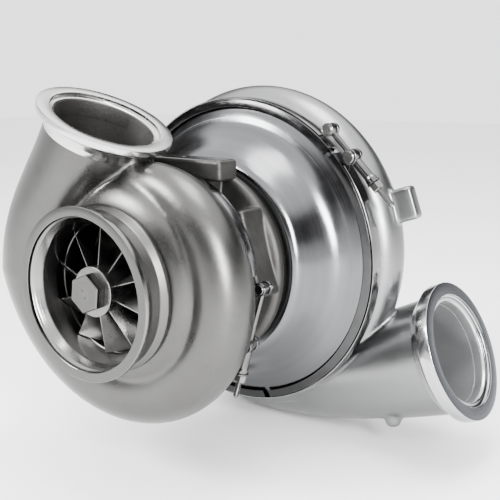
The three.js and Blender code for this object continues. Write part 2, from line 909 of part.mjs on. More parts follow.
function strapSection(outer, front, rear) {
  return [
    [outer + STRAP_LIFT, front + 0.5],
    [outer + STRAP_LIFT + 1.2, front + 0.5],
    [outer + STRAP_LIFT + 1.2, rear - 0.5],
    [outer + STRAP_LIFT, rear - 0.5],
  ];
}

// The bolt hardware, placed by the middle of the strap gap, the bolt direction and the outward direction.
function clampHardware(prefix, { radius, angle, y, width, gapHalf, boltR, lift, direction }) {
  const around = polar(1, 0, angle + (direction * Math.PI) / 2);
  const seat = polar(radius + lift, y, angle);
  const barrelR = boltR * 1.75;
  const halfWidth = width / 2;
  const pointAt = (distance) => seat.clone().addScaledVector(around, distance);
  const across = (distance, reach) => {
    const middle = pointAt(distance);
    return [
      middle.clone().setY(y - reach),
      middle.clone().setY(y + reach),
    ];
  };
  const headEnds = across(-gapHalf, halfWidth - 1);
  const head = bar(headEnds[0], headEnds[1], barrelR, 16);
  const shank = bar(pointAt(-gapHalf), pointAt(gapHalf + 21 * boltR), boltR, 12);
  place(prefix + "_t_bolt", head.add(shank), MACHINED_STEEL);
  const trunnionEnds = across(gapHalf, halfWidth + 1.5);
  const hole = bar(pointAt(gapHalf - 20), pointAt(gapHalf + 20), boltR + GAP, 12);
  const trunnion = bar(trunnionEnds[0], trunnionEnds[1], boltR * 2.1, 16);
  place(prefix + "_trunnion", trunnion.subtract(hole), MACHINED_STEEL);
  const sleeveStart = pointAt(gapHalf + boltR * 2.1 + GAP);
  const sleeveLength = 8.5 * boltR;
  const sleeveProfile = [
    [boltR + GAP, 0],
    [boltR * 1.7, 0],
    [boltR * 1.7, sleeveLength - 4],
    [boltR * 2, sleeveLength],
    [boltR + GAP, sleeveLength],
  ];
  place(prefix + "_sleeve", turnedAt(sleeveProfile, sleeveStart, around, 14), MACHINED_STEEL);
  const washerStart = sleeveStart.clone().addScaledVector(around, sleeveLength + GAP);
  const washerProfile = [
    [boltR + GAP, 0],
    [boltR * 2.3, 0],
    [boltR * 2.3, 1.5],
    [boltR + GAP, 1.5],
  ];
  place(prefix + "_washer", turnedAt(washerProfile, washerStart, around, 14), MACHINED_STEEL);
  const nutStart = washerStart.clone().addScaledVector(around, 1.5 + GAP);
  const nut = turnedAt([[0, 0], [boltR * 2, 0], [boltR * 2, 7], [0, 7]], nutStart, around, 6);
  const thread = bar(pointAt(0), pointAt(gapHalf + 70), boltR + GAP, 12);
  place(prefix + "_nut", nut.subtract(thread), BRIGHT_STEEL);
}

function bigClamp() {
  const section = retainerSection(CLAMP_R, 139, CLAMP_FRONT_Y, CLAMP_REAR_Y);
  const gapAngle = 45 * DEG;
  const segments = 3;
  const each = (2 * Math.PI) / segments;
  for (let i = 0; i < segments; i += 1) {
    const from = gapAngle + i * each + 1.2 * DEG;
    const to = gapAngle + (i + 1) * each - 1.2 * DEG;
    place("compressor_clamp_retainer_" + (i + 1), arcPiece(section, from, to, 14), BRIGHT_STEEL);
  }
  const strap = arcPiece(
    strapSection(CLAMP_R, CLAMP_FRONT_Y, CLAMP_REAR_Y),
    gapAngle + 7 * DEG,
    gapAngle + 353 * DEG,
    42,
  );
  place("compressor_clamp_strap", strap, BRIGHT_STEEL);
  clampHardware("compressor_clamp", {
    radius: CLAMP_R + 1.5 + GAP,
    angle: gapAngle,
    y: (CLAMP_FRONT_Y + CLAMP_REAR_Y) / 2,
    width: CLAMP_REAR_Y - CLAMP_FRONT_Y,
    gapHalf: 16,
    boltR: 2.7,
    lift: 7,
    direction: -1,
  });
}

function smallClamp() {
  const front = TURBINE_BACK_Y - 4.4;
  const rear = TURBINE_BACK_Y + 6.4;
  const section = retainerSection(TURBINE_REAR_R + 2.6, TURBINE_REAR_R - 1.4, front, rear);
  const gapAngle = -16 * DEG;
  for (let i = 0; i < 2; i += 1) {
    const from = gapAngle + i * Math.PI + 2 * DEG;
    const to = gapAngle + (i + 1) * Math.PI - 2 * DEG;
    place("turbine_clamp_retainer_" + (i + 1), arcPiece(section, from, to, 18), MACHINED_STEEL);
  }
  const strap = arcPiece(
    strapSection(TURBINE_REAR_R + 2.6, front, rear + 4.6),
    gapAngle + 20 * DEG,
    gapAngle + 342 * DEG,
    36,
  );
  place("turbine_clamp_strap", strap, MACHINED_STEEL);
  clampHardware("turbine_clamp", {
    radius: TURBINE_REAR_R + 4.1 + GAP,
    angle: gapAngle,
    y: (front + rear + 4.6) / 2,
    width: rear + 4.6 - front,
    gapHalf: 26,
    boltR: 2.5,
    lift: 7.5,
    direction: -1,
  });
}

// ---------------------------------------------------------------- assembly

place("turbine_housing", turbineHousing(), CAST_STEEL);
place("turbine_wheel", turbineWheel(), DARK_ALLOY);
place("rotor_shaft", rotorShaft(), MACHINED_STEEL);
place("turbine_heat_shield", heatShield(), MACHINED_STEEL);
place("turbine_seal_ring", sealRing(11.7, 13.1, -32.6), MACHINED_STEEL);
place("centre_housing", centreHousing(), CAST_IRON);
place("bearing_cartridge", bearingCartridge(), MACHINED_STEEL);
place("turbine_side_inner_race", innerRace(-1), BRIGHT_STEEL);
place("compressor_side_inner_race", innerRace(1), BRIGHT_STEEL);
place("turbine_side_ball_set", ballSet(-1), BRIGHT_STEEL);
place("compressor_side_ball_set", ballSet(1), BRIGHT_STEEL);
place("inner_race_spacer", raceSpacer(), MACHINED_STEEL);
place("bearing_retainer_ring", bearingRetainer(), MACHINED_STEEL);
place("oil_flinger", oilFlinger(), MACHINED_STEEL);
place("compressor_seal_ring", sealRing(11.7, 13.3, 62.4), MACHINED_STEEL);
place("backplate", backplate(), POLISHED_ALUMINIUM);
place("cover_seal", coverSeal(), RUBBER);
place("compressor_wheel", compressorWheel(), CAST_ALUMINIUM);
place("compressor_wheel_nut", impellerNut(), MACHINED_STEEL);
place("compressor_cover", compressorCover(), CAST_ALUMINIUM);
bigClamp();
smallClamp();

export default turbocharger;
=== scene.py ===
"""Looks of the turbocharger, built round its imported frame.

Shapes are worked out in millimetres and stored in metres. The shaft runs along Y, with the turbine
outlet at -Y, the compressor inlet at +Y and +Z up. Angles run from +X towards +Z.
"""

import math

import bmesh
import bpy
import numpy as np
from mathutils import Matrix, Vector
from mathutils.bvhtree import BVHTree


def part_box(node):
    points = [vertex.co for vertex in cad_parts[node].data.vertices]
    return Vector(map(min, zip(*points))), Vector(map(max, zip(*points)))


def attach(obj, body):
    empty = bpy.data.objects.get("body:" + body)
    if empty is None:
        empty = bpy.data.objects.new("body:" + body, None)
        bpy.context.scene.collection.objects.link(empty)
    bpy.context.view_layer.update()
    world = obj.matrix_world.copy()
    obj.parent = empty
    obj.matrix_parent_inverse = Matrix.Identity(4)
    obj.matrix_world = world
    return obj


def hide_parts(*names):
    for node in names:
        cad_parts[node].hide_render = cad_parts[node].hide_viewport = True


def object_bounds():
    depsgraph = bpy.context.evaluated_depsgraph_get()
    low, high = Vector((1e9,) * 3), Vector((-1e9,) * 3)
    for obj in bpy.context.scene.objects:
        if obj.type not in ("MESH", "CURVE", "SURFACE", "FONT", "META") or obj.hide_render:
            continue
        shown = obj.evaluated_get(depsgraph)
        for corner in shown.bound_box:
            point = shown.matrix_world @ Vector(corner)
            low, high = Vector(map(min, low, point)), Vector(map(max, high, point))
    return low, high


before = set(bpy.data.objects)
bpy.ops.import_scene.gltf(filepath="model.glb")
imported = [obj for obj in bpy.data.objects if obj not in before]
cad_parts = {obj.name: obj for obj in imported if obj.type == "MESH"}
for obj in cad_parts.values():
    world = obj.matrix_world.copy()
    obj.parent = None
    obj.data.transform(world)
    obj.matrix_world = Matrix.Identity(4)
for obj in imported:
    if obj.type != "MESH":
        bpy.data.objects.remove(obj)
cad_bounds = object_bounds()

MM = 0.001
TAU = 2 * math.pi
HOUSING = "housing"
ROTOR = "rotor"
X, Y, Z = np.eye(3)

# ---------------------------------------------------------------- camera


def rad(degrees):
    return math.radians(degrees)


def make_camera():
    data = bpy.data.cameras.new("camera")
    data.lens = 57.67
    data.sensor_width = 36
    place = Vector((459.3, -533.6, 162.4)) * MM
    right = Vector((0.8097, 0.5870, 0)).normalized()
    back = Vector((0.5744, -0.7923, 0.2057)).normalized()
    up = back.cross(right)
    camera = bpy.data.objects.new("camera", data)
    rows = Matrix((right, up, back)).transposed().to_4x4()
    camera.matrix_world = Matrix.Translation(place) @ rows
    bpy.context.scene.collection.objects.link(camera)
    bpy.context.scene.camera = camera


# ---------------------------------------------------------------- mesh helpers


def polar(radius, y, angle):
    return np.array([radius * math.cos(angle), y, radius * math.sin(angle)])


def bezier(points, t):
    a, b, c, d = (np.asarray(p, float) for p in points)
    s = 1 - t
    return a * s**3 + b * 3 * s * s * t + c * 3 * s * t * t + d * t**3


def bezier_tangent(points, t):
    a, b, c, d = (np.asarray(p, float) for p in points)
    s = 1 - t
    way = (b - a) * s * s + (c - b) * 2 * s * t + (d - c) * t * t
    return way / np.linalg.norm(way)


def sample(points, count):
    return [tuple(bezier(points, i / count)) for i in range(count + 1)]


def softened(profile, radius, steps=3, closed=True):
    """The profile with each corner rounded off."""
    points = [np.asarray(p, float) for p in profile]
    count = len(points)
    rounded = []
    for i, corner in enumerate(points):
        if not closed and i in (0, count - 1):
            rounded.append(corner)
            continue
        before = points[i - 1] - corner
        after = points[(i + 1) % count] - corner
        reach = min(radius, np.linalg.norm(before) * 0.45, np.linalg.norm(after) * 0.45)
        start = corner + before / np.linalg.norm(before) * reach
        end = corner + after / np.linalg.norm(after) * reach
        for k in range(steps + 1):
            t = k / steps
            rounded.append(start * (1 - t) ** 2 + corner * 2 * t * (1 - t) + end * t * t)
    return [tuple(p) for p in rounded]


def skin(rings, closed_rows=False):
    """Quads through rows of rings that all have the same number of points."""
    sides = len(rings[0])
    points = [tuple(p) for ring in rings for p in ring]
    faces = []
    rows = len(rings)
    for i in range(rows if closed_rows else rows - 1):
        j = (i + 1) % rows
        for a in range(sides):
            b = (a + 1) % sides
            faces.append((i * sides + a, i * sides + b, j * sides + b, j * sides + a))
    if not closed_rows:
        faces.append(tuple(range(sides)))
        faces.append(tuple((rows - 1) * sides + a for a in range(sides)))
    return points, faces


def turned(profile, segments):
    """A closed [radius, y] profile turned about the Y axis."""
    rings = []
    for k in range(segments):
        angle = TAU * k / segments
        rings.append([polar(r, y, angle) for r, y in profile])
    return skin(rings, closed_rows=True)


def arc(section, start, end, steps):
    """A closed [radius, y] section swept about the Y axis between two angles."""
    rings = []
    for k in range(steps + 1):
        angle = start + (end - start) * k / steps
        rings.append([polar(r, y, angle) for r, y in section])
    return skin(rings)


def ring_of(centre, across, upward, radius, sides):
    return [
        centre + radius * (across * math.cos(TAU * k / sides) + upward * math.sin(TAU * k / sides))
        for k in range(sides)
    ]


def tube(path, radius_at, steps, sides):
    """A round pipe along a cubic curve in a plane of constant y."""
    rings = []
    for k in range(steps + 1):
        t = k / steps
        across = np.cross(Y, bezier_tangent(path, t))
        across /= np.linalg.norm(across)
        rings.append(ring_of(bezier(path, t), across, Y, radius_at(t), sides))
    return skin(rings)


def placed(chunk, origin, direction):
    """A chunk built about the Y axis, moved so that its axis runs along a direction from an origin."""
    points, faces = chunk
    y = np.asarray(direction, float)
    y = y / np.linalg.norm(y)
    x = np.cross(y, X if abs(np.dot(Y, y)) > 0.95 else Y)
    x /= np.linalg.norm(x)
    z = np.cross(x, y)
    moved = [tuple(np.asarray(origin, float) + p[0] * x + p[1] * y + p[2] * z) for p in points]
    return moved, faces


def rod(start, end, radius, segments, chamfer):
    start = np.asarray(start, float)
    way = np.asarray(end, float) - start
    length = np.linalg.norm(way)
    profile = [
        (0.0, 0.0),
        (radius - chamfer, 0),
        (radius, chamfer),
        (radius, length - chamfer),
        (radius - chamfer, length),
        (0.0, length),
    ]
    return placed(turned(profile, segments), start, way)


def block(size, centre, axes, bevel, segments=3):
    mesh = bmesh.new()
    bmesh.ops.create_cube(mesh, size=1)
    bmesh.ops.scale(mesh, vec=Vector(size), verts=mesh.verts)
    bmesh.ops.bevel(
        mesh, geom=mesh.edges[:], offset=bevel, segments=segments, profile=0.5, affect="EDGES"
    )
    x, y, z = (np.asarray(a, float) for a in axes)
    mesh.verts.index_update()
    points = [tuple(np.asarray(centre) + v.co.x * x + v.co.y * y + v.co.z * z) for v in mesh.verts]
    faces = [tuple(v.index for v in f.verts) for f in mesh.faces]
    mesh.free()
    return points, faces


def hexagon(radius, length, chamfer, turn=0.0):
    """A hexagonal prism about the Y axis from y = 0, with its corners taken off at both ends."""
    rings = []
    small = radius - chamfer
    for y, reach in ((0, small), (chamfer, radius), (length - chamfer, radius), (length, small)):
        rings.append([polar(reach, y, turn + TAU * k / 6) for k in range(6)])
    return skin(rings)


def merged(chunks):
    """The points and faces of several chunks in one pair of lists."""
    points = []
    faces = []
    for chunk_points, chunk_faces in chunks:
        shift = len(points)
        points.extend(chunk_points)
        faces.extend(tuple(i + shift for i in face) for face in chunk_faces)
    return points, faces


def solid(name, chunks, sharp=32):
    """A mesh object in metres from chunks in millimetres."""
    points, faces = merged(chunks)
    mesh = bpy.data.meshes.new(name)
    mesh.from_pydata([(x * MM, y * MM, z * MM) for x, y, z in points], [], faces)
    obj = bpy.data.objects.new(name, mesh)
    bpy.context.scene.collection.objects.link(obj)
    clean(obj, sharp)
    return obj


def clean(obj, sharp):
    """Welds a mesh, turns its faces outward and shades it smooth between edges sharper than an angle."""
    mesh = bmesh.new()
    mesh.from_mesh(obj.data)
    bmesh.ops.remove_doubles(mesh, verts=mesh.verts, dist=1e-7)
    bmesh.ops.dissolve_degenerate(mesh, edges=mesh.edges, dist=1e-8)
    bmesh.ops.recalc_face_normals(mesh, faces=mesh.faces)
    mesh.to_mesh(obj.data)
    mesh.free()
    obj.data.shade_smooth()
    obj.data.set_sharp_from_angle(angle=rad(sharp))


def apply_modifiers(obj):
    graph = bpy.context.evaluated_depsgraph_get()
    mesh = bpy.data.meshes.new_from_object(obj.evaluated_get(graph), depsgraph=graph)
    old = obj.data
    obj.modifiers.clear()
    obj.data = mesh
    bpy.data.meshes.remove(old)


def combine(obj, other, operation):
    """Joins another solid to an object or cuts it away, and removes it."""
    modifier = obj.modifiers.new(operation, "BOOLEAN")
    modifier.operation = operation
    modifier.solver = "MANIFOLD"
    modifier.object = other
    apply_modifiers(obj)
    bpy.data.objects.remove(other)


def blended(obj, voxel, iterations):
    """Grows overlapping solids into one cast body with filleted joints."""
    remesh = obj.modifiers.new("remesh", "REMESH")
    remesh.mode = "VOXEL"
    remesh.voxel_size = voxel * MM
    smooth = obj.modifiers.new("smooth", "SMOOTH")
    smooth.factor = 0.5
    smooth.iterations = iterations
    apply_modifiers(obj)


def paint(obj, material, chosen):
    """Gives the faces for which chosen(centre, normal) holds, in millimetres, another material."""
    if not obj.data.materials:
        obj.data.materials.append(None)
    obj.data.materials.append(material)
    index = len(obj.data.materials) - 1
    for face in obj.data.polygons:
        if chosen(face.center / MM, face.normal):
            face.material_index = index


def near(chunks):
    """A test for points that lie on the surface of some chunks."""
    points, faces = merged(chunks)
    surface = BVHTree.FromPolygons([Vector(p) for p in points], faces)

    def test(centre, normal):
        found = surface.find_nearest(centre, 0.35)
        return found[0] is not None

    return test


def piece(obj, body, material, nodes=()):
    """Dresses an object, lets it ride on a body and stand for CAD nodes."""
    if not obj.data.materials:
        obj.data.materials.append(material)
    else:
        obj.data.materials[0] = material
    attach(obj, body)
    if nodes:
        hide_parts(*nodes)
    return obj


# ---------------------------------------------------------------- materials


class Tree:
    """The node tree of one material."""

    def __init__(self, name, color, roughness, metallic=1.0):
        self.material = bpy.data.materials.new(name)
        self.material.use_nodes = True
        self.material.diffuse_color = (*color, 1)
        self.tree = self.material.node_tree
        self.shader = self.tree.nodes["Principled BSDF"]
        self.shader.inputs["Metallic"].default_value = metallic
        self.shader.inputs["Base Color"].default_value = (*color, 1)
        self.shader.inputs["Roughness"].default_value = roughness
        self.place = self.node("ShaderNodeTexCoord").outputs["Object"]
        self.turn = None
        self.relief = None

    def node(self, kind, **settings):
        made = self.tree.nodes.new(kind)
        for key, value in settings.items():
            setattr(made, key, value)
        return made

    def link(self, source, target):
        self.tree.links.new(source, target)

    def noise(self, scale, detail, roughness=0.55, place=None):
        made = self.node("ShaderNodeTexNoise")
        made.inputs["Scale"].default_value = scale
        made.inputs["Detail"].default_value = detail
        made.inputs["Roughness"].default_value = roughness
        self.link(place or self.place, made.inputs["Vector"])
        return made.outputs["Fac"]

    def spread(self, source, low, high, out_low, out_high):
        made = self.node("ShaderNodeMapRange")
        made.inputs["From Min"].default_value = low
        made.inputs["From Max"].default_value = high
        made.inputs["To Min"].default_value = out_low
        made.inputs["To Max"].default_value = out_high
        self.link(source, made.inputs["Value"])
        return made.outputs["Result"]

    def maths(self, operation, a, b=None):
        made = self.node("ShaderNodeMath", operation=operation)
        self.link(a, made.inputs[0])
        if b is not None:
            self.link(b, made.inputs[1])
        return made.outputs[0]

    def mix(self, factor, a, b):
        made = self.node("ShaderNodeMix", data_type="RGBA")
        self.link(factor, made.inputs[0])
        for value, target in ((a, made.inputs[6]), (b, made.inputs[7])):
            if isinstance(value, tuple):
                target.default_value = (*value, 1)
            else:
                self.link(value, target)
        return made.outputs[2]

    def rings(self, pitch):
        """Noise that varies only with the distance from the local Y axis and along it."""
        parts = self.node("ShaderNodeSeparateXYZ")
        self.link(self.place, parts.inputs[0])
        square = self.maths("MULTIPLY", parts.outputs[0], parts.outputs[0])
        other = self.maths("MULTIPLY", parts.outputs[2], parts.outputs[2])
        radius = self.maths("SQRT", self.maths("ADD", square, other))
        along = self.maths("ADD", radius, parts.outputs[1])
        made = self.node("ShaderNodeTexNoise", noise_dimensions="1D")
        made.inputs["Scale"].default_value = 1 / (pitch * MM)
        made.inputs["Detail"].default_value = 3
        self.link(along, made.inputs["W"])
        return made.outputs["Fac"]

    def bump(self, height, depth, strength):
        made = self.node("ShaderNodeBump")
        made.inputs["Strength"].default_value = strength
        made.inputs["Distance"].default_value = depth * MM
        self.link(height, made.inputs["Height"])
        if self.relief is not None:
            self.link(self.relief, made.inputs["Normal"])
        self.relief = made.outputs["Normal"]
        self.link(self.relief, self.shader.inputs["Normal"])

    def worn_edges(self, base, color):
        sharpness = self.node("ShaderNodeNewGeometry").outputs["Pointiness"]
        amount = self.spread(sharpness, 0.52, 0.6, 0, 1)
        patchy = self.maths("MULTIPLY", amount, self.noise(180, 3))
        return self.mix(self.spread(patchy, 0, 0.6, 0, 1), base, color)

    def stand_at(self, origin, direction):
        """Moves the texture space so that its Y axis runs along a direction from an origin in millimetres."""
        self.turn = Vector(Y).rotation_difference(Vector(direction)).to_euler()
        mapping = self.node("ShaderNodeMapping", vector_type="TEXTURE")
        mapping.inputs["Location"].default_value = Vector(origin) * MM
        mapping.inputs["Rotation"].default_value = self.turn
        self.link(self.place, mapping.inputs["Vector"])
        self.place = mapping.outputs[0]

    def turned_grain(self, amount):
        """Stretches highlights across the marks of turning about the local Y axis."""
        self.shader.inputs["Anisotropic"].default_value = amount
        if self.turn is None:
            tangent = self.node("ShaderNodeTangent", direction_type="RADIAL", axis="Y")
            self.link(tangent.outputs[0], self.shader.inputs["Tangent"])
            return
        around = self.node("ShaderNodeVectorMath", operation="CROSS_PRODUCT")
        self.link(self.place, around.inputs[0])
        around.inputs[1].default_value = Y
        leaning = self.node("ShaderNodeMapping", vector_type="VECTOR")
        leaning.inputs["Rotation"].default_value = self.turn
        self.link(around.outputs[0], leaning.inputs["Vector"])
        world = self.node("ShaderNodeVectorTransform", vector_type="VECTOR", convert_from="OBJECT",
                          convert_to="WORLD")
        self.link(leaning.outputs[0], world.inputs[0])
        self.link(world.outputs[0], self.shader.inputs["Tangent"])


def shade(color, factor):
    return tuple(min(1.0, c * factor) for c in color)


def cast(name, color, roughness, grain, depth, mottle=0.08, wear=1.12):
    """A cast and blasted metal: fine grain, soft blotches, slightly brighter edges."""
    t = Tree(name, color, roughness)
    blotches = t.noise(28, 4, 0.6)
    base = t.mix(t.spread(blotches, 0.3, 0.7, 0, 1), shade(color, 1 - mottle), shade(color, 1 + mottle))
    specks = t.noise(grain, 5, 0.65)
    base = t.mix(t.spread(specks, 0.62, 0.8, 0, 0.5), base, shade(color, 0.72))
    base = t.worn_edges(base, shade(color, wear))
    t.link(base, t.shader.inputs["Base Color"])
    rough = t.maths("ADD", t.spread(blotches, 0.3, 0.7, roughness - 0.04, roughness + 0.04),
                    t.spread(specks, 0.35, 0.75, -0.04, 0.06))
    t.link(rough, t.shader.inputs["Roughness"])
    t.bump(t.noise(60, 3), depth * 1.6, 0.35)
    t.bump(specks, depth, 0.8)
    return t.material


def machined(name, color, roughness, pitch=0.5, depth=0.02, anisotropy=0.5, stand=None):
    """A turned metal: concentric tool marks, stretched highlights, faint handling marks."""
    t = Tree(name, color, roughness)
    if stand is not None:
        t.stand_at(*stand)
    marks = t.rings(pitch)
    broad = t.rings(pitch * 14)
    smudges = t.noise(45, 4, 0.6)
    base = t.mix(t.spread(broad, 0.35, 0.65, 0, 1), shade(color, 0.93), shade(color, 1.05))
    base = t.mix(t.spread(smudges, 0.55, 0.75, 0, 0.35), base, shade(color, 0.88))
    t.link(base, t.shader.inputs["Base Color"])
    rough = t.maths("ADD", t.spread(marks, 0.3, 0.7, roughness - 0.04, roughness + 0.05),
                    t.spread(smudges, 0.4, 0.75, -0.02, 0.06))
    t.link(rough, t.shader.inputs["Roughness"])
    t.bump(marks, depth, 0.5)
    t.turned_grain(anisotropy)
    return t.material


def strip_steel(name, color, roughness):
    """Rolled and polished strip: fine scratches and worn corners."""
    t = Tree(name, color, roughness)
    stretch = t.node("ShaderNodeMapping")
    stretch.inputs["Scale"].default_value = (1, 14, 1)
    t.link(t.place, stretch.inputs["Vector"])
    scratches = t.noise(160, 5, 0.7, stretch.outputs[0])
    smudges = t.noise(70, 3)
    base = t.mix(t.spread(smudges, 0.4, 0.7, 0, 1), color, shade(color, 0.86))
    base = t.worn_edges(base, shade(color, 1.15))
    t.link(base, t.shader.inputs["Base Color"])
    rough = t.maths("ADD", t.spread(scratches, 0.35, 0.7, roughness - 0.05, roughness + 0.07),
                    t.spread(smudges, 0.4, 0.7, -0.02, 0.05))
    t.link(rough, t.shader.inputs["Roughness"])
    t.bump(scratches, 0.015, 0.5)
    return t.material


HOUSING_CAST = cast("blasted_cast_steel", (0.088, 0.0873, 0.085), 0.32, grain=800, depth=0.07)
DUCT_INSIDE = cast("rough_cast_inside", (0.08, 0.078, 0.075), 0.55, grain=500, depth=0.25)
COVER_CAST = cast("satin_cast_aluminium", (0.21, 0.212, 0.215), 0.33, grain=900, depth=0.05, mottle=0.05)
COVER_INSIDE = cast("cast_aluminium_inside", (0.40, 0.405, 0.41), 0.45, grain=600, depth=0.15)
CENTRE_CAST = cast("rough_cast_iron", (0.06, 0.059, 0.057), 0.5, grain=420, depth=0.35, mottle=0.2, wear=1.5)
TURNED_STEEL = machined("turned_steel", (0.19, 0.189, 0.186), 0.19)
TURNED_RIM = machined("turned_steel_rim", (0.085, 0.0845, 0.083), 0.22, pitch=0.8, anisotropy=0.6)
TURNED_NECK = machined(
    "turned_housing_neck", (0.10, 0.099, 0.096), 0.32, pitch=0.9, depth=0.03, anisotropy=0.35
)
TURNED_ALUMINIUM = machined("turned_aluminium", (0.42, 0.422, 0.43), 0.19)
POLISHED_PLATE = machined(
    "polished_plate", (0.12, 0.1215, 0.126), 0.18, pitch=1.2, depth=0.03, anisotropy=0.75
)
CLAMP_STEEL = strip_steel("polished_strip_steel", (0.19, 0.19, 0.193), 0.15)
RETAINER_STEEL = strip_steel("pressed_strip_steel", (0.055, 0.055, 0.056), 0.17)
FASTENER_STEEL = strip_steel("plated_steel", (0.115, 0.115, 0.113), 0.2)
WHEEL_ALLOY = cast("cast_wheel_alloy", (0.15, 0.148, 0.145), 0.3, grain=900, depth=0.05, mottle=0.12)
NOSE_ALLOY = machined("turned_wheel_nose", (0.085, 0.084, 0.082), 0.3, pitch=0.7, anisotropy=0.3)
WHEEL_ALUMINIUM = machined("milled_aluminium", (0.5, 0.505, 0.515), 0.22, pitch=0.9, anisotropy=0.2)
GROUND_STEEL = machined("ground_steel", (0.60, 0.60, 0.60), 0.18, pitch=0.3)
SHEET_STEEL = strip_steel("sheet_steel", (0.50, 0.49, 0.47), 0.35)


def rubber(name):
    t = Tree(name, (0.02, 0.02, 0.02), 0.7, 0)
    t.link(t.spread(t.noise(300, 4), 0.3, 0.7, 0.6, 0.8), t.shader.inputs["Roughness"])
    t.bump(t.noise(900, 3), 0.05, 0.5)
    return t.material


RUBBER = rubber("moulded_rubber")

# ---------------------------------------------------------------- turbine housing

TURBINE_FACE_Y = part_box("turbine_housing")[0].y / MM
TURBINE_SCROLL_Y = -60
TURBINE_SCROLL_INNER_R = 62
TURBINE_SCROLL_START = rad(180)
TURBINE_SCROLL_SWEEP = rad(270)
TURBINE_WALL = 6
INLET_LEAN = rad(26)
INLET_CENTRE = np.array([-31.0, TURBINE_SCROLL_Y, 133.0])
INLET_NORMAL = np.array([math.sin(INLET_LEAN), 0, math.cos(INLET_LEAN)])
TURBINE_HUB = [(57, -54), (35, -55), (24, -70), (19.5, -105)]
TURBINE_TIP = [(57, -64.5), (54, -66.5), (53, -76), (53, -100)]
NOSE_FACE_Y = -121
PIT_REACH = 3.2  # balance pits' distance from the shaft axis
INLET_LIP_R = 57.8
INLET_BORE_R = 42.2


def turbine_scroll_radius(turn):
    return 26.5 - 8.5 * turn**6 + 18.5 * max(0.0, 1 - turn) ** 3


def turbine_scroll(wall, end, steps, sides):
    rings = []
    for i in range(steps + 1):
        turn = end * i / steps
        angle = TURBINE_SCROLL_START + turn * TURBINE_SCROLL_SWEEP
        section = turbine_scroll_radius(turn)
        centre = polar(TURBINE_SCROLL_INNER_R + section, TURBINE_SCROLL_Y, angle)
        rings.append(ring_of(centre, polar(1, 0, angle), Y, section - wall, sides))
    return skin(rings)


def inlet_path(lift):
    radius = TURBINE_SCROLL_INNER_R + turbine_scroll_radius(0)
    end = polar(radius, TURBINE_SCROLL_Y, TURBINE_SCROLL_START)
    return [
        INLET_CENTRE + INLET_NORMAL * lift,
        INLET_CENTRE - INLET_NORMAL * 62,
        end + np.array([3, 0, 48]),
        end + np.array([1, 0, -6]),
    ]


def turbine_housing():
    face = TURBINE_FACE_Y
    core = turned(
        softened(
            [
                (0.0, face + 30),
                (66.5, face + 30),
                (78.5, face + 36.5),
                (90.5, -73.5),
                (95, -58),
                (95, -43),
                (89, -33),
                (81, -30),
                (81, -27),
                (84, -25),
                (84, -22.2),
                (0.0, -22.2),
            ],
            6,
            5,
        ),
        180,
    )
    grown = turbine_scroll_radius(0)
    body = solid("turbine_housing_body", [
        core,
        turbine_scroll(0, 1.1, 130, 56),
        tube(inlet_path(-8), lambda t: 48 + (grown - 48) * t, 50, 64),
    ])
    room = solid("room", [turned([(70, -30.5), (91, -30.5), (95, -27), (95, 10), (70, 10)], 120)])
    rim = solid("rim", [turned([(60, -33), (81, -30), (81, -27), (84, -25), (84, -22.1), (60, -22.1)], 120)])
    combine(room, rim, "DIFFERENCE")
    blended(body, 1.3, 45)
    combine(body, room, "DIFFERENCE")
    gas = tube(inlet_path(6), lambda t: 42.4 + (grown - 48.4) * t, 50, 56)
    hollow = [
        (0.0, face - 5),
        (60, face - 5),
        (60, face + 29),
        (54.2, face + 33),
        (54.2, -80),
        (57.9, -65.6),
        (70, -67),
        (70, -54),
        (62, -53),
        (62, -41),
        (74, -41),
        (74, -20),
        (0.0, -20),
    ]
    inner_room = turned([(60, -34), (93, -34), (100, -28), (100, 10), (60, 10)], 120)
    scroll_way = turbine_scroll(TURBINE_WALL, 0.97, 90, 40)
    ways = solid("ways", [gas])
    combine(ways, solid("scroll_way", [scroll_way]), "UNION")
    combine(ways, solid("inner_room", [inner_room]), "DIFFERENCE")
    combine(body, ways, "DIFFERENCE")
    combine(body, solid("hollow", [turned(hollow, 160)]), "DIFFERENCE")
    clean(body, 40)
    piece(body, HOUSING, HOUSING_CAST, ["turbine_housing"])
    paint(body, DUCT_INSIDE, near([gas, scroll_way]))

    outlet = softened(
        [
            (62, face),
            (70, face),
            (70, face + 4),
            (66, face + 7),
            (64.5, face + 12),
            (65, face + 21),
            (68.5, face + 26),
            (68.5, face + 29),
            (66, face + 31.5),
            (61, face + 31.5),
            (54, face + 31.5),
            (54, face + 23.5),
            (57, face + 12),
            (60.4, face + 5),
            (62, face + 3),
        ],
        0.7,
    )
    flange = solid("turbine_outlet_flange", [turned(outlet, 200)], 28)
    paint(flange, TURNED_RIM, lambda centre, normal: normal.y < -0.9)
    paint(flange, TURNED_NECK,
          lambda centre, normal: centre.y > face + 5 and math.hypot(centre.x, centre.z) > 62.5)
    piece(flange, HOUSING, TURNED_STEEL)

    lip = softened(
        [
            (47, 0),
            (INLET_LIP_R, 0),
            (INLET_LIP_R, -5),
            (51.4, -8.6),
            (48.8, -14),
            (47.6, -19),
            (INLET_BORE_R, -19),
            (INLET_BORE_R, -4.6),
            (43.5, -3.4),
            (47, -3),
        ],
        0.6,
    )
    inlet = solid("turbine_inlet_flange", [turned(lip, 180)], 28)
    paint(inlet, DUCT_INSIDE, lambda centre, normal: math.hypot(centre.x, centre.z) < INLET_BORE_R + 0.4)
    stand_at(inlet, INLET_CENTRE, INLET_NORMAL)
    # The flange is painted far lighter than the other turned steel: a painted highlight, as its face turns up
    # towards the lamps.
    finish = machined("turned_inlet_flange_painted_highlight", (0.58, 0.577, 0.57), 0.17, stand=(INLET_CENTRE, INLET_NORMAL))
    piece(inlet, HOUSING, finish)


